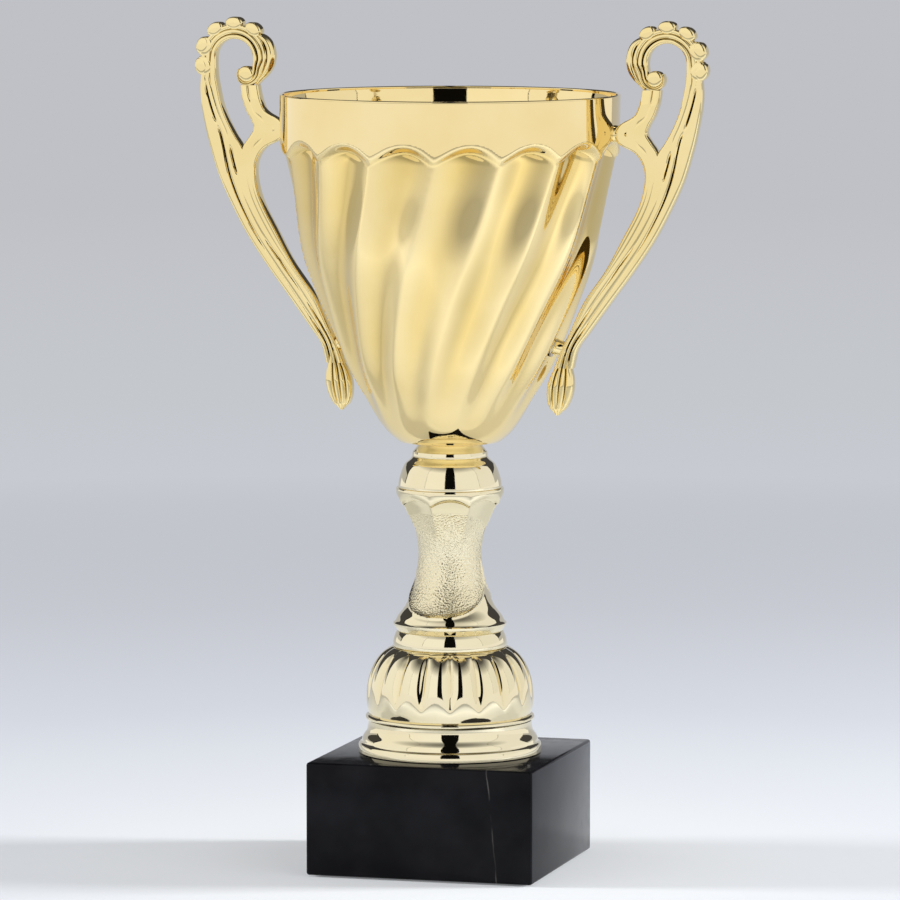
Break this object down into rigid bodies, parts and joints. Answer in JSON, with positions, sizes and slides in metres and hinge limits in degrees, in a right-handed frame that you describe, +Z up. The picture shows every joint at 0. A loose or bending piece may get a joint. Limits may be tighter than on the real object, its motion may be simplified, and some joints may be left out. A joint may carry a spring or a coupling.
{
  "type": "two-handled trophy cup",
  "caption": "Gold presentation cup with spiral flutes and pierced scroll handles, on a lobed, waisted riser and a square black marble block.",
  "frame": {"origin": "middle of the plane that the felt pads stand on", "axes": "+Z up along the tie rod; -Y towards the front face of the block; +X towards the right handle"},
  "size_m": [0.1868, 0.12, 0.2998],
  "materials": {
    "marble": "polished black marble with a few pale veins",
    "felt": "short wool felt",
    "cup_gold": "polished yellow gold plate on thin brass sheet",
    "handle_gold": "polished pale gold plate on a zinc casting",
    "riser_gold": "polished pale gold plate on a plastic moulding",
    "zinc_steel": "bright zinc plated steel",
    "brass_nut": "polished brass"
  },
  "bodies": {
    "root": {"base_lock_washer": "zinc_steel", "base_nut": "zinc_steel", "base_washer": "zinc_steel", "cup_bowl": "cup_gold", "cup_collar": "riser_gold", "cup_nut": "brass_nut", "cup_washer": "zinc_steel", "felt_pad_1": "felt", "felt_pad_2": "felt", "felt_pad_3": "felt", "felt_pad_4": "felt", "handle_left": "handle_gold", "handle_right": "handle_gold", "handle_screws": "zinc_steel", "handle_washers": "zinc_steel", "marble_base": "marble", "riser_band": "riser_gold", "riser_bell": "riser_gold", "riser_dome": "riser_gold", "riser_foot": "riser_gold", "riser_ring": "riser_gold", "riser_waist": "riser_gold", "tie_rod": "zinc_steel"}
  },
  "joints": []
}
